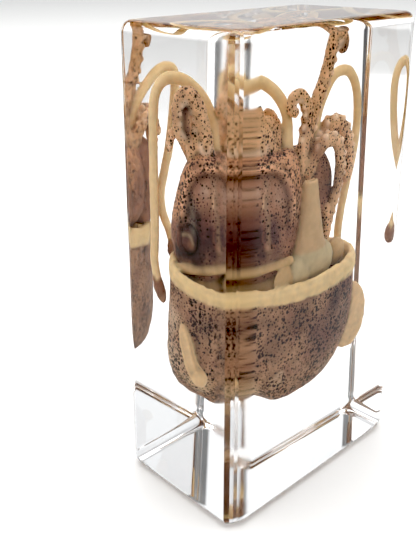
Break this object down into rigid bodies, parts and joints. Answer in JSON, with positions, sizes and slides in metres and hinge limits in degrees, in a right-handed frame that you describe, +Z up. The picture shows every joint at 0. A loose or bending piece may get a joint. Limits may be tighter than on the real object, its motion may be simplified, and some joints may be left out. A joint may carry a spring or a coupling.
{
  "type": "squid in clear block",
  "caption": "Whole bobtail squid sealed upright in a polished clear cast block with rounded edges that stands on its end.",
  "frame": {"origin": "middle of the block's underside", "axes": "+Z up along the block's length, +X along the wide face, +Y through the block's thickness towards its back; the squid's funnel side looks towards -Y"},
  "size_m": [0.0422, 0.025, 0.0763],
  "materials": {
    "clear_resin": "polished clear casting resin, index of refraction about 1.55",
    "squid_skin": "waxy preserved skin, cream to pinkish brown with dense dark brown and purple dots"
  },
  "bodies": {
    "root": {"block_front": "clear_resin", "block_back": "clear_resin", "squid": "squid_skin"}
  },
  "joints": []
}
